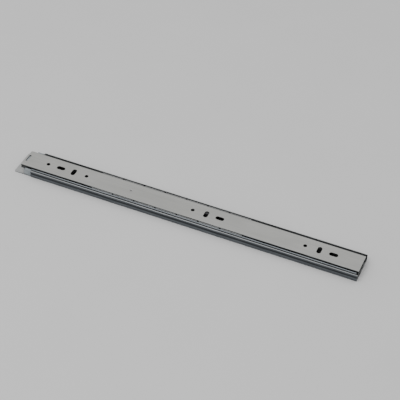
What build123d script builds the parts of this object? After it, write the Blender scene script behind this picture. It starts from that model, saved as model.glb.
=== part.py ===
from build123d import *
import os
from math import cos, radians, sin, tan

os.makedirs("parts", exist_ok=True)

# Full-extension ball-bearing drawer slide, lying on the back of its cabinet member.
# +X is the way the drawer pulls out, +Y runs across the slide, +Z points from cabinet to drawer.
# The origin is under the middle of the slide, on the plane of the cabinet side. Sizes are in mm.

# ---- overall sizes ----
slide_width = 45.0
slide_thickness = 12.7
cabinet_length = 509.0
drawer_length = 500.0
sheet = 1.0
half_width = slide_width / 2

# How far a cutter, or a block that is joined on, runs past the face that it meets.
beyond = 1.0

# ---- where each member starts and ends along the slide ----
cabinet_rear = -cabinet_length / 2
cabinet_front = cabinet_length / 2
drawer_front = cabinet_front - 0.5
drawer_rear = drawer_front - drawer_length
cabinet_flange_rear = drawer_rear + 18.0
intermediate_front = cabinet_front - 2.5
intermediate_rear = drawer_rear + 12.0
intermediate_flange_rear = intermediate_rear + 6.0

# ---- balls and the grooves they run in ----
ball_gap = 0.06
outer_ball_radius = 1.75
outer_ball_y = half_width - sheet - outer_ball_radius - ball_gap
outer_ball_z = 3.6
inner_ball_radius = 1.5875
inner_ball_y = 17.1
inner_ball_z = 9.2
outer_race_radius = outer_ball_radius + ball_gap
inner_race_radius = inner_ball_radius + ball_gap

# ---- ball retainers: a pair of balls in each 32 mm step ----
retainer_sheet = 0.5
retainer_step = 32.0
ball_offsets_in_step = (10.0, 22.0)
ball_hole_gap = 0.06
inner_retainer_rear = drawer_rear + 112.0
inner_retainer_steps = 7
inner_retainer_end_margin = 0.0
inner_retainer_top = 12.0
outer_retainer_rear = drawer_rear + 147.0
outer_retainer_steps = 6
outer_retainer_end_margin = 11.0
retainer_bridge_length = 9.0
outer_retainer_web_bottom = 1.25
outer_window_half_width = 16.5
outer_window_top = 3.0
outer_ball_cutter_length = 2.0
outer_strip_heading = 64.0
outer_strip_above_ball = 2.1
inner_retainer_web_bottom = 3.35
inner_retainer_race_gap = 0.34
inner_retainer_slope_heading = 50.0
inner_window_top = 6.6
retainer_bend_radius = 1.0
notch_width = 2.6
notch_depth = 2.4

# ---- heights of the bent sheet ----
cabinet_lip_top = 10.5
cabinet_lip_turn = 1.5
cabinet_lip_radius = 1.2
cabinet_corner_radius = 1.3
crease_depth = 0.6
crease_z = 6.0
crease_reach_down = 1.6
crease_reach_up = 2.2
intermediate_web_bottom = 2.0
race_entry_angle = 186.0
race_exit_angle = 120.0
lip_wrap_angle = 62.0
lip_straight = 0.1
drawer_side_y = 16.2
drawer_corner_radius = 1.4
drawer_lip_bottom = 6.9
drawer_groove_half_angle = 35.0
bend_radius = 1.3

# ---- tongue, stops and the rear bumper ----
tongue_half_width = 21.2
tail_half_width = 13.0
tongue_corner = 1.5
stop_half_width = 6.0
stop_length = 4.0
stop_height = 0.7
cabinet_stop_x = cabinet_front - 10.0
intermediate_stop_x = intermediate_rear + 1.5
bumper_rear = drawer_rear - 1.5
bumper_front = intermediate_rear - 0.5
bumper_half_width = 8.0
bumper_top = 10.4
bumper_rib_top = 11.4
hold_in_slot_x = drawer_rear + 3.2
hold_in_slot_length = 14.0
hold_in_slot_width = 3.2
rib_half_length = 0.9
bumper_ear_rear = drawer_rear + 7.0
bumper_ear_front = cabinet_flange_rear - 0.5
bumper_ear_inner_y = 17.2
bumper_ear_outer_y = 20.6
bumper_ear_top = 9.6
bumper_wing_top = 4.0
bumper_corner = 1.5
rib_half_width = 5.0
bumper_rivet_x = bumper_front - 4.5
bumper_rivet_well_radius = 2.9
bumper_rivet_well_bottom = 4.0
bumper_rivet_foot_radius = 2.2
bumper_rivet_foot_depth = 0.9
intermediate_bumper_x = intermediate_rear + 8.0
intermediate_bumper_length = 7.0
intermediate_bumper_half_width = 9.0
intermediate_bumper_height = 3.0

# ---- fixing holes, as distances back from each member's front end ----
round_hole_radius = 2.7
slot_width = 6.3
slot_length = 12.5
access_hole_radius = 6.0
drawer_round_holes = (80.0, 243.0, 405.0, 465.0)
drawer_lengthwise_slots = (40.0, 203.0, 445.0)
drawer_crosswise_slots = (60.0, 223.0, 425.0)
cabinet_round_holes = (45.0, 173.0, 269.0, 461.0)
cabinet_lengthwise_slots = (77.0, 429.0)
cabinet_crosswise_slots = (109.0, 301.0)

# ---- release lever and the catch it hooks behind ----
lever_pivot_x = drawer_front - 336.0
lever_bottom = 8.6
lever_top = 11.5
lever_hub_radius = 5.0
lever_hook_reach = 61.5
lever_hook_length = 4.5
lever_tip_reach = 121.0
lever_arm_inner_y = 1.8
lever_arm_outer_y = 6.8
lever_hook_tip_y = -2.0
lever_bore_gap = 0.05
lever_neck_near = ((0.0, -4.6), (16.0, -1.0), (28.0, 1.8))
lever_neck_far = ((30.0, 6.8), (12.0, 4.8), (0.0, 4.8))
lever_hook_slope = 6.0
lever_hook_point = 2.0
spring_tail_route = ((-3.0, -2.0), (-14.0, -4.8), (-30.0, -11.4))
spring_tail_bend_radius = 20.0
spring_tail_thickness = 0.9
grip_count = 5
grip_spacing = 2.4
grip_width = 1.2
grip_depth = 0.5
grip_setback = 1.0
pivot_shank_radius = 1.5
pivot_head_radius = 2.6
pivot_head_depth = 0.7
pivot_foot_radius = 3.0
pivot_foot_depth = 0.8
pivot_foot_corner = 0.4
punch_mark_radius = 1.4
punch_mark_depth = 0.9
washer_space = 0.6
washer_gap = 0.1
washer_thickness = 0.45
washer_radius = 3.8
washer_bore_gap = 0.08
drawer_travel = 240.0
catch_gap = 0.4
catch_rear_x = lever_pivot_x + lever_hook_reach + drawer_travel + catch_gap
cushion_thickness = 1.5
cushion_inset = 0.2
cushion_above_web = 1.5
catch_sheet = 1.2
catch_top = 11.0
catch_near_y = -5.0
catch_far_y = 1.0
catch_foot_length = 13.0
catch_foot_half_width = 7.0
catch_foot_corner = 2.0
catch_rivet_y = 4.0
catch_rivet_radius = 1.3
catch_rivet_setback = 7.5
catch_plate_x = catch_rear_x + cushion_thickness
catch_rivet_x = catch_plate_x + catch_rivet_setback
rivet_gap = 0.03
rivet_head_radius = 2.3
rivet_head_edge_radius = 2.0
rivet_head_depth = 0.9
rivet_head_edge_depth = 0.8


def tangent_corner(centre_y, centre_z, radius, angle_from, angle_to):
    """The corner whose fillet of this radius is an arc about the centre between two angles."""
    middle = radians((angle_from + angle_to) / 2)
    reach = radius / cos(radians((angle_from - angle_to) / 2))
    return (centre_y + reach * cos(middle), centre_z + reach * sin(middle))


def on_circle(centre_y, centre_z, radius, angle):
    return (centre_y + radius * cos(radians(angle)), centre_z + radius * sin(radians(angle)))


def along(point, heading, distance):
    return (
        point[0] + distance * cos(radians(heading)),
        point[1] + distance * sin(radians(heading)),
    )


def meets_height(point, heading, height):
    """Where a line through a point on a heading reaches a height."""
    return (point[0] + (height - point[1]) / tan(radians(heading)), height)


def meets_side(point, heading, side_y):
    """Where a line through a point on a heading reaches a distance from the middle."""
    return (side_y, point[1] + (side_y - point[0]) * tan(radians(heading)))


def bent_sheet(half_points, half_radii, thickness, rear, front, opens_up=True):
    """A symmetrical bent sheet run along X, from the outside corners of its far half."""
    far_to_near = list(reversed(half_points)) + [(-y, z) for y, z in half_points]
    corners = far_to_near if not opens_up else list(reversed(far_to_near))
    radii = list(reversed(half_radii)) + list(half_radii)
    outside = FilletPolyline(*corners, radius=radii)
    section = make_face(offset(outside, amount=thickness, side=Side.LEFT))
    return extrude(Plane.YZ.offset(rear) * section, amount=front - rear)


def upright_cylinder(x, y, radius, bottom, top):
    return Pos(x, y, (bottom + top) / 2) * Cylinder(radius, top - bottom)


def upright_slot(x, length, width, bottom, top, crosswise=False):
    """A round-ended cutter on the centre line, long along X, or along Y if crosswise."""
    outline = SlotOverall(length, width, rotation=90 if crosswise else 0)
    return extrude(Pos(x, 0, bottom) * outline, amount=top - bottom)


def block(x_low, x_high, y_low, y_high, z_low, z_high):
    centre = ((x_low + x_high) / 2, (y_low + y_high) / 2, (z_low + z_high) / 2)
    return Pos(*centre) * Box(x_high - x_low, y_high - y_low, z_high - z_low)


def turned(x, y, profile):
    """A piece turned about a standing axis, from its (radius, z) profile."""
    half = make_face(Polyline(*profile, close=True))
    return Pos(x, y, 0) * revolve(Plane.XZ * half, Axis.Z)


def ball_stations(rear, steps, margin):
    return [
        rear + margin + step * retainer_step + offset_in_step
        for step in range(steps)
        for offset_in_step in ball_offsets_in_step
    ]


def fixing_cutters(front, bottom, top, round_holes, lengthwise_slots, crosswise_slots):
    """Cutters for a member's screw holes, from their distances back from its front end."""
    cutters = []
    for back in round_holes:
        cutters.append(upright_cylinder(front - back, 0, round_hole_radius, bottom, top))
    for back in lengthwise_slots:
        cutters.append(upright_slot(front - back, slot_length, slot_width, bottom, top))
    for back in crosswise_slots:
        cutters.append(upright_slot(front - back, slot_length, slot_width, bottom, top, True))
    return cutters


def pressed_stop(x, web_bottom, upward):
    """A half-sheared stop: the block it raises on one face and the dent it leaves in the other."""
    web_top = web_bottom + sheet
    raised = (web_top, web_top + stop_height) if upward else (web_bottom - stop_height, web_bottom)
    dent = (web_bottom, web_bottom + stop_height) if upward else (web_top - stop_height, web_top)
    solid = block(x, x + stop_length, -stop_half_width, stop_half_width, *raised)
    hollow = block(x, x + stop_length, -stop_half_width, stop_half_width, *dent)
    return solid, hollow


def cabinet_member():
    half_points = [
        (half_width, 0),
        (half_width, crease_z - crease_reach_down),
        (half_width - crease_depth, crease_z),
        (half_width, crease_z + crease_reach_up),
        (half_width, cabinet_lip_top),
        (half_width - cabinet_lip_turn, cabinet_lip_top),
    ]
    radii = [
        cabinet_corner_radius,
        bend_radius,
        bend_radius,
        bend_radius,
        cabinet_lip_radius,
    ]
    member = bent_sheet(half_points, radii, sheet, cabinet_flange_rear, cabinet_front)
    tongue = block(cabinet_rear, cabinet_flange_rear, -tongue_half_width, tongue_half_width, 0, sheet)
    tongue = chamfer(tongue.edges().filter_by(Axis.Z).group_by(Axis.X)[0], tongue_corner)
    raised, dent = pressed_stop(cabinet_stop_x, 0, True)
    cutters = fixing_cutters(
        cabinet_front,
        -beyond,
        sheet + beyond,
        cabinet_round_holes,
        cabinet_lengthwise_slots,
        cabinet_crosswise_slots,
    )
    rivet_hole = upright_cylinder(
        bumper_rivet_x, 0, catch_rivet_radius + rivet_gap, -beyond, sheet + beyond
    )
    countersink = turned(
        bumper_rivet_x,
        0,
        [
            (0, 0),
            (bumper_rivet_foot_radius + rivet_gap, 0),
            (catch_rivet_radius + rivet_gap, bumper_rivet_foot_depth),
            (0, bumper_rivet_foot_depth),
        ],
    )
    return member + tongue + raised - dent - cutters - rivet_hole - countersink


def intermediate_member():
    race_vertex = tangent_corner(
        outer_ball_y, outer_ball_z, outer_race_radius, race_entry_angle, race_exit_angle
    )
    race_entry = on_circle(outer_ball_y, outer_ball_z, outer_race_radius, race_entry_angle)
    race_exit = on_circle(outer_ball_y, outer_ball_z, outer_race_radius, race_exit_angle)
    flange_radius = inner_race_radius + sheet
    flange_y = inner_ball_y + flange_radius
    lip_end = on_circle(inner_ball_y, inner_ball_z, flange_radius, lip_wrap_angle)
    half_points = [
        meets_height(race_entry, race_entry_angle - 90, intermediate_web_bottom),
        race_vertex,
        meets_side(race_exit, race_exit_angle - 90, flange_y),
        tangent_corner(inner_ball_y, inner_ball_z, flange_radius, 0, lip_wrap_angle),
        along(lip_end, lip_wrap_angle + 90, lip_straight),
    ]
    radii = [bend_radius, outer_race_radius, bend_radius, flange_radius]
    member = bent_sheet(half_points, radii, sheet, intermediate_flange_rear, intermediate_front)
    web_top = intermediate_web_bottom + sheet
    tail = block(
        intermediate_rear,
        intermediate_flange_rear,
        -tail_half_width,
        tail_half_width,
        intermediate_web_bottom,
        web_top,
    )
    raised, dent = pressed_stop(intermediate_stop_x, intermediate_web_bottom, False)
    low = intermediate_web_bottom - beyond
    high = web_top + beyond
    access = [
        upright_cylinder(cabinet_front - back, 0, access_hole_radius, low, high)
        for back in cabinet_round_holes + cabinet_lengthwise_slots
    ]
    rivet_holes = [
        upright_cylinder(
            catch_rivet_x, side * catch_rivet_y, catch_rivet_radius + rivet_gap, low, high
        )
        for side in (-1, 1)
    ]
    return member + tail + raised - dent - access - rivet_holes


def drawer_member():
    low_angle = 180 + drawer_groove_half_angle
    high_angle = 180 - drawer_groove_half_angle
    groove_low = on_circle(inner_ball_y, inner_ball_z, inner_race_radius, low_angle)
    groove_high = on_circle(inner_ball_y, inner_ball_z, inner_race_radius, high_angle)
    half_points = [
        (drawer_side_y, slide_thickness),
        meets_side(groove_high, 90 - drawer_groove_half_angle, drawer_side_y),
        tangent_corner(inner_ball_y, inner_ball_z, inner_race_radius, low_angle, high_angle),
        meets_side(groove_low, 90 + drawer_groove_half_angle, drawer_side_y),
        (drawer_side_y, drawer_lip_bottom),
    ]
    radii = [drawer_corner_radius, bend_radius, inner_race_radius, bend_radius]
    member = bent_sheet(half_points, radii, sheet, drawer_rear, drawer_front, opens_up=False)
    web_low = slide_thickness - sheet - beyond
    web_high = slide_thickness + beyond
    cutters = fixing_cutters(
        drawer_front,
        web_low,
        web_high,
        drawer_round_holes,
        drawer_lengthwise_slots,
        drawer_crosswise_slots,
    )
    hold_in = upright_slot(
        hold_in_slot_x, hold_in_slot_length, hold_in_slot_width, web_low, web_high, True
    )
    return member - cutters - hold_in - pivot_rivet_shape(rivet_gap)


def outer_ball_retainer():
    length = outer_retainer_steps * retainer_step + 2 * outer_retainer_end_margin
    front = outer_retainer_rear + length
    strip_bottom = along((outer_ball_y, outer_ball_z), outer_strip_heading - 90, retainer_sheet / 2)
    half_points = [
        meets_height(strip_bottom, outer_strip_heading, outer_retainer_web_bottom),
        along(strip_bottom, outer_strip_heading, outer_strip_above_ball),
    ]
    tray = bent_sheet(
        half_points, [retainer_bend_radius], retainer_sheet, outer_retainer_rear, front
    )
    windows = retainer_windows(
        outer_retainer_rear,
        front,
        outer_window_half_width,
        outer_retainer_web_bottom - beyond,
        outer_window_top,
    )
    holes = [
        Pos(x, side * outer_ball_y, outer_ball_z)
        * Rot(side * outer_strip_heading, 0, 0)
        * Cylinder(outer_ball_radius + ball_hole_gap, outer_ball_cutter_length)
        for x in ball_stations(outer_retainer_rear, outer_retainer_steps, outer_retainer_end_margin)
        for side in (-1, 1)
    ]
    return tray - windows - holes


def inner_ball_retainer():
    length = inner_retainer_steps * retainer_step
    front = inner_retainer_rear + length
    outside_y = inner_ball_y + retainer_sheet / 2
    clear_of_race = outer_race_radius + sheet + inner_retainer_race_gap
    slope_point = on_circle(
        outer_ball_y, outer_ball_z, clear_of_race, inner_retainer_slope_heading + 90
    )
    half_points = [
        meets_height(slope_point, inner_retainer_slope_heading, inner_retainer_web_bottom),
        meets_side(slope_point, inner_retainer_slope_heading, outside_y),
        (outside_y, inner_retainer_top),
    ]
    radii = [retainer_bend_radius, retainer_bend_radius]
    tray = bent_sheet(half_points, radii, retainer_sheet, inner_retainer_rear, front)
    windows = retainer_windows(
        inner_retainer_rear,
        front,
        half_width,
        inner_retainer_web_bottom - beyond,
        inner_window_top,
    )
    holes = [
        Pos(x, 0, inner_ball_z)
        * Rot(90, 0, 0)
        * Cylinder(inner_ball_radius + ball_hole_gap, slide_width)
        for x in ball_stations(inner_retainer_rear, inner_retainer_steps, inner_retainer_end_margin)
    ]
    notches = [
        block(
            inner_retainer_rear + step * retainer_step - notch_width / 2,
            inner_retainer_rear + step * retainer_step + notch_width / 2,
            -half_width,
            half_width,
            inner_retainer_top - notch_depth,
            inner_retainer_top + beyond,
        )
        for step in range(1, inner_retainer_steps)
    ]
    return tray - windows - holes - notches


def retainer_windows(rear, front, half_opening, bottom, top):
    """Two long windows that leave a bridge at each end of a retainer and one in the middle."""
    middle = (rear + front) / 2
    return [
        block(
            rear + retainer_bridge_length,
            middle - retainer_bridge_length / 2,
            -half_opening,
            half_opening,
            bottom,
            top,
        ),
        block(
            middle + retainer_bridge_length / 2,
            front - retainer_bridge_length,
            -half_opening,
            half_opening,
            bottom,
            top,
        ),
    ]


def ball_row(stations, y, z, radius):
    return Compound(children=[Pos(x, y, z) * Sphere(radius) for x in stations])


def pivot_rivet_shape(grow):
    """The release lever's rivet, flush with the drawer face, or its hole if grown."""
    top = slide_thickness
    foot_top = lever_bottom - washer_space
    foot_bottom = foot_top - pivot_foot_depth
    shank = pivot_shank_radius + grow
    return turned(
        lever_pivot_x,
        0,
        [
            (0, foot_bottom),
            (pivot_foot_radius - pivot_foot_corner, foot_bottom),
            (pivot_foot_radius, foot_bottom + pivot_foot_corner),
            (pivot_foot_radius, foot_top),
            (shank, foot_top),
            (shank, top - pivot_head_depth),
            (pivot_head_radius + grow, top),
            (0, top),
        ],
    )


def lever_pivot_rivet():
    """The rivet with the punch mark that swells its head into the drawer member."""
    top = slide_thickness
    punch_mark = turned(
        lever_pivot_x,
        0,
        [
            (0, top - punch_mark_depth),
            (punch_mark_radius, top),
            (punch_mark_radius, top + beyond),
            (0, top + beyond),
        ],
    )
    return pivot_rivet_shape(0) - punch_mark


def lever_washer():
    """The thin washer between the lever and the rivet's foot."""
    washer_top = lever_bottom - washer_gap
    washer_bottom = washer_top - washer_thickness
    outside = upright_cylinder(lever_pivot_x, 0, washer_radius, washer_bottom, washer_top)
    bore_radius = pivot_shank_radius + washer_bore_gap
    return outside - upright_cylinder(
        lever_pivot_x, 0, bore_radius, washer_bottom - beyond, washer_top + beyond
    )


def release_lever():
    """The plastic lever: hub, hooked arm with a ribbed tip, and a spring tail behind the hub."""
    hook_face = lever_hook_reach
    arm = [
        *lever_neck_near,
        (hook_face - lever_hook_length - lever_hook_slope, lever_arm_inner_y),
        (hook_face - lever_hook_point, lever_hook_tip_y),
        (hook_face, lever_hook_tip_y),
        (hook_face, lever_arm_inner_y),
        (lever_tip_reach, lever_arm_inner_y),
        (lever_tip_reach, lever_arm_outer_y),
        *lever_neck_far,
    ]
    spring_tail = FilletPolyline(*spring_tail_route, radius=spring_tail_bend_radius)
    outline = make_face(Polyline(*arm, close=True)) + Circle(lever_hub_radius)
    outline += make_face(offset(spring_tail, amount=spring_tail_thickness, side=Side.LEFT))
    body = extrude(Pos(lever_pivot_x, 0, lever_bottom) * outline, amount=lever_top - lever_bottom)
    bore_radius = pivot_shank_radius + lever_bore_gap
    bore = upright_cylinder(
        lever_pivot_x, 0, bore_radius, lever_bottom - beyond, lever_top + beyond
    )
    first_grip_x = lever_pivot_x + lever_tip_reach - grip_setback - grip_count * grip_spacing
    grips = [
        block(
            first_grip_x + i * grip_spacing,
            first_grip_x + i * grip_spacing + grip_width,
            lever_arm_inner_y - beyond,
            lever_arm_outer_y + beyond,
            lever_bottom - beyond,
            lever_bottom + grip_depth,
        )
        for i in range(grip_count)
    ]
    return body - bore - grips


def lever_catch():
    """A riveted foot with an upstand that the lever's hook stops against."""
    web_top = intermediate_web_bottom + sheet
    foot = block(
        catch_plate_x,
        catch_plate_x + catch_foot_length,
        -catch_foot_half_width,
        catch_foot_half_width,
        web_top,
        web_top + catch_sheet,
    )
    foot = fillet(foot.edges().filter_by(Axis.Z).group_by(Axis.X)[-1], catch_foot_corner)
    upstand = block(
        catch_plate_x, catch_plate_x + catch_sheet, catch_near_y, catch_far_y, web_top, catch_top
    )
    low = web_top - beyond
    high = web_top + catch_sheet + beyond
    holes = [
        upright_cylinder(
            catch_rivet_x, side * catch_rivet_y, catch_rivet_radius + rivet_gap, low, high
        )
        for side in (-1, 1)
    ]
    return foot + upstand - holes


def catch_cushion():
    """A rubber pad on the upstand's rear face."""
    return block(
        catch_rear_x,
        catch_plate_x,
        catch_near_y + cushion_inset,
        catch_far_y - cushion_inset,
        intermediate_web_bottom + sheet + cushion_above_web,
        catch_top - cushion_inset,
    )


def catch_rivets():
    web_top = intermediate_web_bottom + sheet
    head_bottom = web_top + catch_sheet
    profile = [
        (0, intermediate_web_bottom),
        (catch_rivet_radius, intermediate_web_bottom),
        (catch_rivet_radius, head_bottom),
        (rivet_head_radius, head_bottom),
        (rivet_head_edge_radius, head_bottom + rivet_head_edge_depth),
        (0, head_bottom + rivet_head_depth),
    ]
    return Compound(
        children=[turned(catch_rivet_x, side * catch_rivet_y, profile) for side in (-1, 1)]
    )


def rear_bumper():
    """The moulded block on the cabinet tongue that the closed slide stops against.

    A rib on top lines up with the drawer member's slot, and an ear on each side closes the
    gap between the tongue and the end of the cabinet member's flange.
    """
    body = block(bumper_rear, bumper_front, -bumper_half_width, bumper_half_width, sheet, bumper_top)
    body = fillet(body.edges().filter_by(Axis.Z), bumper_corner)
    rib = block(
        hold_in_slot_x - rib_half_length,
        hold_in_slot_x + rib_half_length,
        -rib_half_width,
        rib_half_width,
        bumper_top - beyond,
        bumper_rib_top,
    )
    wing = block(
        bumper_ear_rear,
        bumper_front,
        -bumper_ear_outer_y,
        bumper_ear_outer_y,
        sheet,
        bumper_wing_top,
    )
    moulding = body + rib + wing + bumper_ear(1) + bumper_ear(-1)
    rivet_well = upright_cylinder(
        bumper_rivet_x, 0, bumper_rivet_well_radius, bumper_rivet_well_bottom, bumper_top + beyond
    )
    bore_radius = catch_rivet_radius + rivet_gap
    rivet_bore = upright_cylinder(
        bumper_rivet_x, 0, bore_radius, sheet - beyond, bumper_rivet_well_bottom + beyond
    )
    return moulding - rivet_well - rivet_bore


def bumper_ear(side):
    """One ear of the rear bumper, on the far side (1) or the near side (-1)."""
    inner_y, outer_y = sorted((side * bumper_ear_inner_y, side * bumper_ear_outer_y))
    ear = block(bumper_ear_rear, bumper_ear_front, inner_y, outer_y, sheet, bumper_ear_top)
    top_ends = ear.edges().filter_by(Axis.Y).group_by(Axis.Z)[-1]
    return fillet(top_ends, bumper_corner)


def bumper_rivet():
    return turned(
        bumper_rivet_x,
        0,
        [
            (0, 0),
            (bumper_rivet_foot_radius, 0),
            (catch_rivet_radius, bumper_rivet_foot_depth),
            (catch_rivet_radius, bumper_rivet_well_bottom),
            (rivet_head_radius, bumper_rivet_well_bottom),
            (rivet_head_edge_radius, bumper_rivet_well_bottom + rivet_head_edge_depth),
            (0, bumper_rivet_well_bottom + rivet_head_depth),
        ],
    )


def intermediate_rear_bumper():
    """A plastic stop that keeps the inner ball retainer on the intermediate member."""
    web_top = intermediate_web_bottom + sheet
    body = block(
        intermediate_bumper_x,
        intermediate_bumper_x + intermediate_bumper_length,
        -intermediate_bumper_half_width,
        intermediate_bumper_half_width,
        web_top,
        web_top + intermediate_bumper_height,
    )
    return fillet(body.edges().filter_by(Axis.Z), bumper_corner)


outer_stations = ball_stations(outer_retainer_rear, outer_retainer_steps, outer_retainer_end_margin)
inner_stations = ball_stations(inner_retainer_rear, inner_retainer_steps, inner_retainer_end_margin)

pieces = {
    "cabinet_member": cabinet_member(),
    "rear_bumper": rear_bumper(),
    "rear_bumper_rivet": bumper_rivet(),
    "intermediate_member": intermediate_member(),
    "intermediate_rear_bumper": intermediate_rear_bumper(),
    "lever_catch": lever_catch(),
    "lever_catch_rivets": catch_rivets(),
    "catch_cushion": catch_cushion(),
    "drawer_member": drawer_member(),
    "release_lever": release_lever(),
    "lever_pivot_rivet": lever_pivot_rivet(),
    "lever_washer": lever_washer(),
    "outer_ball_retainer": outer_ball_retainer(),
    "outer_balls_near": ball_row(outer_stations, -outer_ball_y, outer_ball_z, outer_ball_radius),
    "outer_balls_far": ball_row(outer_stations, outer_ball_y, outer_ball_z, outer_ball_radius),
    "inner_ball_retainer": inner_ball_retainer(),
    "inner_balls_near": ball_row(inner_stations, -inner_ball_y, inner_ball_z, inner_ball_radius),
    "inner_balls_far": ball_row(inner_stations, inner_ball_y, inner_ball_z, inner_ball_radius),
}

for name, piece in pieces.items():
    export_step(piece, f"parts/{name}.step")
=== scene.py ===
from math import cos, radians, sin

import bpy
from mathutils import Matrix, Vector


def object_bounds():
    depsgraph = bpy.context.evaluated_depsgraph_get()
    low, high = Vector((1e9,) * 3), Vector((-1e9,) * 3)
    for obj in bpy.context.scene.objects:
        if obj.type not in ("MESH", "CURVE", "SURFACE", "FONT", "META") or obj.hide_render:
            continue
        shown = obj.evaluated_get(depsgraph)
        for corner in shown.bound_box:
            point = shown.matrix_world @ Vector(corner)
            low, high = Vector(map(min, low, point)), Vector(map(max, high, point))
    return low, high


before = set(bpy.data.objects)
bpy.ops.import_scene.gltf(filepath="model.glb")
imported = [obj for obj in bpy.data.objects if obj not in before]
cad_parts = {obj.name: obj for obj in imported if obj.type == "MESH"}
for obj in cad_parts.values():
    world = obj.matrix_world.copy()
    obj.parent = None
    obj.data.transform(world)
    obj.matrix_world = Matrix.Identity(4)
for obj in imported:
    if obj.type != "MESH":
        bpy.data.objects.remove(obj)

cad_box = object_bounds()

MM = 0.001
SLIDE_TOP = cad_box[1][2]

# ---- the camera's line of sight, in the slide's own frame ----
VIEW_AIM = Vector((11.8, 23.0, 12.7)) * MM
VIEW_DISTANCE = 1.778
VIEW_YAW = radians(-21.6)
VIEW_PITCH = radians(41.9)
VIEW_ROLL = radians(-2.65)
VIEW_LENS = 116.4
NEAREST_DRAWN = 0.01

# ---- light and surroundings: places and sizes in metres, power in watts ----
SKY_OVERHEAD = 0.92
SKY_AT_HORIZON = 0.42
SKY_FULL_AT_RISE = 0.8
KEY_PLACE = (-0.5, -0.8, 1.7)
KEY_SIZE = (0.9, 0.9)
KEY_POWER = 10
FLOOR_REACH = 6.0

# ---- where painted shade begins and ends ----
CREASE_HEIGHT = 6.9 * MM
CREASE_DARK_WITHIN = 0.8 * MM
CREASE_CLEAR_BEYOND = 2.2 * MM
CREASE_STRENGTH = 0.9
FLANK_BELOW_LEVEL = 0.84
FACE_ABOVE_LEVEL = 0.985
MARK_DARK_DEPTH = 0.45 * MM
MARK_RIM_DEPTH = 0.02 * MM

# ---- tones laid over a finish's own colour: real streaks and scratches, and painted shade ----
ROLLING_STREAK = (0.36, 0.36, 0.35)
SCRATCH_TONE = (0.80, 0.80, 0.79)
# mottle within the painted shade on upright surfaces
FLANK_SHADE_MOTTLE = (0.36, 0.38, 0.40)
# painted shade along the groove in the channel walls
CREASE_SHADE_TONE = (0.018, 0.020, 0.024)
# painted shade in the rivet's punched recess
PUNCH_RECESS_SHADE = (0.03, 0.03, 0.035)

# ---- which finish each CAD node gets ----
BRIGHT_RETAINERS = ("outer_ball_retainer", "inner_ball_retainer")
BALL_ROWS = ("outer_balls_near", "outer_balls_far", "inner_balls_near", "inner_balls_far")
STEEL_FITTINGS = (
    "rear_bumper_rivet",
    "lever_catch",
    "lever_catch_rivets",
    "lever_washer",
)
PLASTIC_PIECES = ("release_lever", "intermediate_rear_bumper")
RUBBER_PIECES = ("catch_cushion",)


class Shading:
    """A material's nodes, with short calls for the few kinds used here."""

    def __init__(self, name):
        self.material = bpy.data.materials.new(name)
        self.material.use_nodes = True
        self.tree = self.material.node_tree
        self.surface = self.tree.nodes["Principled BSDF"]
        self.place = self.tree.nodes.new("ShaderNodeTexCoord").outputs["Object"]

    def node(self, kind, **settings):
        made = self.tree.nodes.new(kind)
        for key, value in settings.items():
            setattr(made, key, value)
        return made

    def link(self, output, target):
        self.tree.links.new(output, target)

    def stretched(self, scale):
        """Object coordinates in metres, multiplied along each axis."""
        mapping = self.node("ShaderNodeMapping")
        mapping.inputs["Scale"].default_value = scale
        self.link(self.place, mapping.inputs["Vector"])
        return mapping.outputs["Vector"]

    def noise(self, scale, detail=3.0, roughness=0.5):
        made = self.node("ShaderNodeTexNoise")
        made.inputs["Scale"].default_value = 1.0
        made.inputs["Detail"].default_value = detail
        made.inputs["Roughness"].default_value = roughness
        self.link(self.stretched(scale), made.inputs["Vector"])
        return made.outputs["Fac"]

    def level(self):
        """How nearly level the surface lies: 1 on a flat top or bottom, 0 on an upright side."""
        parts = self.node("ShaderNodeSeparateXYZ")
        normal = self.node("ShaderNodeTexCoord").outputs["Normal"]
        self.link(normal, parts.inputs["Vector"])
        return self.add(parts.outputs["Z"], 0.0, "ABSOLUTE")

    def height(self):
        """Height above the cabinet side, in metres."""
        parts = self.node("ShaderNodeSeparateXYZ")
        self.link(self.place, parts.inputs["Vector"])
        return parts.outputs["Z"]

    def ramp(self, value, low, high, at_low, at_high):
        """Maps a value between two stops onto another range, clamped."""
        made = self.node("ShaderNodeMapRange")
        made.inputs["From Min"].default_value = low
        made.inputs["From Max"].default_value = high
        made.inputs["To Min"].default_value = at_low
        made.inputs["To Max"].default_value = at_high
        self.link(value, made.inputs["Value"])
        return made.outputs["Result"]

    def tint(self, factor, first, second):
        made = self.node("ShaderNodeMix", data_type="RGBA")
        self.put_colour(made.inputs[6], first)
        self.put_colour(made.inputs[7], second)
        self.link(factor, made.inputs[0])
        return made.outputs[2]

    def put_colour(self, target, colour):
        if isinstance(colour, tuple):
            target.default_value = (*colour, 1.0)
        else:
            self.link(colour, target)

    def add(self, first, second, kind="ADD"):
        made = self.node("ShaderNodeMath", operation=kind)
        for target, value in zip(made.inputs, (first, second)):
            if isinstance(value, float):
                target.default_value = value
            else:
                self.link(value, target)
        return made.outputs[0]

    def bump(self, height, distance, strength=1.0):
        made = self.node("ShaderNodeBump")
        made.inputs["Distance"].default_value = distance
        made.inputs["Strength"].default_value = strength
        self.link(height, made.inputs["Height"])
        self.link(made.outputs["Normal"], self.surface.inputs["Normal"])


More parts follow.
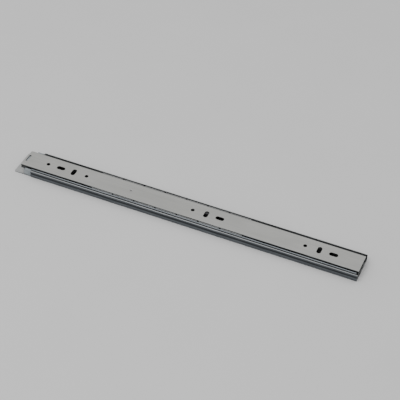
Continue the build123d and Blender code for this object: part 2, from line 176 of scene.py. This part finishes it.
def zinc_sheet(name, dark, light, polish, flank=None, metal=1.0, crease=None):
    """Rolled steel under bright zinc: streaks from rolling, clouded plating and a few scratches.

    flank is painted shade: a darker tone on the surfaces that stand upright. crease is the height
    of a groove along them, with deeper painted shade along it.
    """
    look = Shading(name)
    rolling = look.noise((6, 1400, 1400), detail=5.0, roughness=0.6)
    clouds = look.noise((18, 45, 45), detail=4.0, roughness=0.55)
    grain = look.noise((900, 900, 900), detail=2.0)
    scratches = look.noise((25, 3200, 3200), detail=1.0)
    scratched = look.ramp(scratches, 0.66, 0.74, 0.0, 1.0)
    plating = look.tint(look.ramp(clouds, 0.3, 0.7, 0.0, 1.0), dark, light)
    streaked = look.tint(look.ramp(rolling, 0.35, 0.75, 0.0, 0.35), plating, ROLLING_STREAK)
    colour = look.tint(look.add(scratched, 0.25, "MULTIPLY"), streaked, SCRATCH_TONE)
    if flank:
        # painted shade on upright surfaces, mottled by a noise
        mottle_noise = look.noise((30, 900, 900), detail=4.0)
        flank_painted_shade = look.tint(look.ramp(mottle_noise, 0.35, 0.7, 0.0, 0.3), flank, FLANK_SHADE_MOTTLE)
        if crease:
            # painted shade along the groove at crease height
            away = look.add(look.add(look.height(), crease, "SUBTRACT"), 0.0, "ABSOLUTE")
            crease_shade_mask = look.ramp(away, CREASE_DARK_WITHIN, CREASE_CLEAR_BEYOND, CREASE_STRENGTH, 0.0)
            flank_painted_shade = look.tint(crease_shade_mask, flank_painted_shade, CREASE_SHADE_TONE)
        # upright surfaces take the painted shade, level ones keep the finish's own colour
        facing_up = look.ramp(look.level(), FLANK_BELOW_LEVEL, FACE_ABOVE_LEVEL, 0.0, 1.0)
        colour = look.tint(facing_up, flank_painted_shade, colour)
    look.link(colour, look.surface.inputs["Base Color"])
    rough = look.add(
        look.ramp(rolling, 0.3, 0.7, polish - 0.05, polish + 0.07),
        look.ramp(clouds, 0.3, 0.7, -0.04, 0.05),
    )
    look.link(rough, look.surface.inputs["Roughness"])
    look.surface.inputs["Metallic"].default_value = metal
    height = look.add(look.add(rolling, 0.6, "MULTIPLY"), look.add(grain, 0.4, "MULTIPLY"))
    look.bump(height, 0.00003, 0.35)
    return look.material


def pressed_steel(name, mark_top=None):
    """Cold-headed steel: fine pitting and a duller skin, with painted shade in a mark punched
    below mark_top.
    """
    look = Shading(name)
    pits = look.noise((700, 700, 700), detail=4.0)
    patches = look.noise((160, 160, 160), detail=2.0)
    worn = look.ramp(patches, 0.3, 0.7, 0.0, 1.0)
    colour = look.tint(worn, (0.42, 0.42, 0.41), (0.56, 0.56, 0.55))
    if mark_top:
        dark_below = mark_top - MARK_DARK_DEPTH
        clear_above = mark_top - MARK_RIM_DEPTH
        # painted shade in the recess punched below mark_top
        recess_shade_mask = look.ramp(look.height(), dark_below, clear_above, 1.0, 0.0)
        colour = look.tint(recess_shade_mask, colour, PUNCH_RECESS_SHADE)
    look.link(colour, look.surface.inputs["Base Color"])
    look.link(look.ramp(pits, 0.3, 0.7, 0.28, 0.45), look.surface.inputs["Roughness"])
    look.surface.inputs["Metallic"].default_value = 1.0
    look.bump(pits, 0.00004, 0.4)
    return look.material


def polished_ball(name):
    """Ground bearing steel under a film of grease."""
    look = Shading(name)
    mottle_noise = look.noise((500, 500, 500), detail=2.0)
    filmed = look.ramp(mottle_noise, 0.35, 0.65, 0.0, 1.0)
    colour = look.tint(filmed, (0.62, 0.62, 0.63), (0.74, 0.74, 0.76))
    look.link(colour, look.surface.inputs["Base Color"])
    look.link(look.ramp(mottle_noise, 0.35, 0.65, 0.06, 0.16), look.surface.inputs["Roughness"])
    look.surface.inputs["Metallic"].default_value = 1.0
    return look.material


def moulded(name, dark, light, rough_low, rough_high, grain_scale, depth):
    """Moulded plastic or rubber with a fine grained skin."""
    look = Shading(name)
    grain = look.noise((grain_scale,) * 3, detail=4.0, roughness=0.6)
    flow = look.noise((60, 180, 180), detail=2.0)
    colour = look.tint(look.ramp(flow, 0.3, 0.7, 0.0, 1.0), dark, light)
    look.link(colour, look.surface.inputs["Base Color"])
    look.link(look.ramp(grain, 0.3, 0.7, rough_low, rough_high), look.surface.inputs["Roughness"])
    look.bump(grain, depth, 0.6)
    return look.material


def paint(nodes, material):
    for name in nodes:
        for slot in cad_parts[name].material_slots:
            slot.material = material


def view_camera():
    """A camera on the line of sight, with its small roll."""
    camera = bpy.data.objects.new("view_camera", bpy.data.cameras.new("view_camera"))
    camera.data.lens = VIEW_LENS
    camera.data.clip_start = NEAREST_DRAWN
    ahead = Vector(
        (sin(VIEW_YAW) * cos(VIEW_PITCH), cos(VIEW_YAW) * cos(VIEW_PITCH), -sin(VIEW_PITCH))
    )
    level = Vector((cos(VIEW_YAW), -sin(VIEW_YAW), 0))
    down = ahead.cross(level)
    right = cos(VIEW_ROLL) * level + sin(VIEW_ROLL) * down
    up = sin(VIEW_ROLL) * level - cos(VIEW_ROLL) * down
    turn = Matrix((right, up, -ahead)).transposed().to_4x4()
    camera.matrix_world = Matrix.Translation(VIEW_AIM - VIEW_DISTANCE * ahead) @ turn
    bpy.context.scene.collection.objects.link(camera)
    bpy.context.scene.camera = camera


def soft_light(name, place, aim, size, power):
    data = bpy.data.lights.new(name, "AREA")
    data.shape = "RECTANGLE"
    data.size, data.size_y = size
    data.energy = power
    light = bpy.data.objects.new(name, data)
    light.location = place
    light.rotation_euler = (Vector(aim) - Vector(place)).to_track_quat("-Z", "Y").to_euler()
    bpy.context.scene.collection.objects.link(light)


def pale_floor():
    """A plain pale sheet under the slide, wide enough for every view."""
    reach = FLOOR_REACH
    mesh = bpy.data.meshes.new("floor")
    mesh.from_pydata(
        [(-reach, -reach, 0), (reach, -reach, 0), (reach, reach, 0), (-reach, reach, 0)],
        [],
        [(0, 1, 2, 3)],
    )
    floor = bpy.data.objects.new("floor", mesh)
    bpy.context.scene.collection.objects.link(floor)
    look = Shading("floor_card")
    mottle = look.noise((9, 9, 9), detail=3.0)
    colour = look.tint(mottle, (0.74, 0.74, 0.74), (0.78, 0.78, 0.78))
    look.link(colour, look.surface.inputs["Base Color"])
    look.surface.inputs["Roughness"].default_value = 0.9
    mesh.materials.append(look.material)


def pale_world():
    """Studio surroundings: bright overhead, dimmer at the horizon and the same below it."""
    world = bpy.data.worlds.new("studio")
    world.use_nodes = True
    tree = world.node_tree
    place = tree.nodes.new("ShaderNodeTexCoord")
    split = tree.nodes.new("ShaderNodeSeparateXYZ")
    rise = tree.nodes.new("ShaderNodeMapRange")
    rise.inputs["From Min"].default_value = 0.0
    rise.inputs["From Max"].default_value = SKY_FULL_AT_RISE
    rise.inputs["To Min"].default_value = SKY_AT_HORIZON
    rise.inputs["To Max"].default_value = SKY_OVERHEAD
    tree.links.new(place.outputs["Generated"], split.inputs["Vector"])
    tree.links.new(split.outputs["Z"], rise.inputs["Value"])
    tree.links.new(rise.outputs["Result"], tree.nodes["Background"].inputs["Strength"])
    tree.nodes["Background"].inputs["Color"].default_value = (1.0, 1.0, 1.0, 1.0)
    bpy.context.scene.world = world


# flank is painted shade on upright surfaces; crease adds painted shade along the channel walls'
# groove
DRAWER_ZINC = zinc_sheet(
    "zinc_steel_face", (0.50, 0.505, 0.485), (0.58, 0.58, 0.56), 0.38, flank=(0.05, 0.052, 0.052)
)
CHANNEL_ZINC = zinc_sheet(
    "zinc_steel",
    (0.46, 0.47, 0.47),
    (0.54, 0.55, 0.55),
    0.34,
    flank=(0.10, 0.11, 0.12),
    crease=CREASE_HEIGHT,
)
RETAINER_ZINC = zinc_sheet(
    "retainer_steel", (0.46, 0.47, 0.48), (0.56, 0.57, 0.57), 0.40, metal=0.75
)
BLACK_PLASTIC = moulded(
    "black_plastic", (0.018, 0.018, 0.02), (0.03, 0.03, 0.032), 0.38, 0.52, 1500, 0.00004
)
BLACK_RUBBER = moulded(
    "black_rubber", (0.012, 0.012, 0.012), (0.022, 0.022, 0.022), 0.62, 0.8, 900, 0.00006
)
GREY_PLASTIC = moulded(
    "grey_plastic", (0.25, 0.28, 0.30), (0.36, 0.39, 0.41), 0.28, 0.42, 1200, 0.00003
)
paint(("drawer_member",), DRAWER_ZINC)
paint(("cabinet_member", "intermediate_member"), CHANNEL_ZINC)
paint(BRIGHT_RETAINERS, RETAINER_ZINC)
paint(STEEL_FITTINGS, pressed_steel("rivet_steel"))
# the pivot rivet's punched recess gets painted shade
paint(("lever_pivot_rivet",), pressed_steel("punched_rivet_steel", mark_top=SLIDE_TOP))
paint(BALL_ROWS, polished_ball("ball_steel"))
paint(PLASTIC_PIECES, BLACK_PLASTIC)
paint(RUBBER_PIECES, BLACK_RUBBER)
paint(("rear_bumper",), GREY_PLASTIC)

pale_floor()
pale_world()
soft_light("key", KEY_PLACE, (0, 0, 0), KEY_SIZE, KEY_POWER)
view_camera()
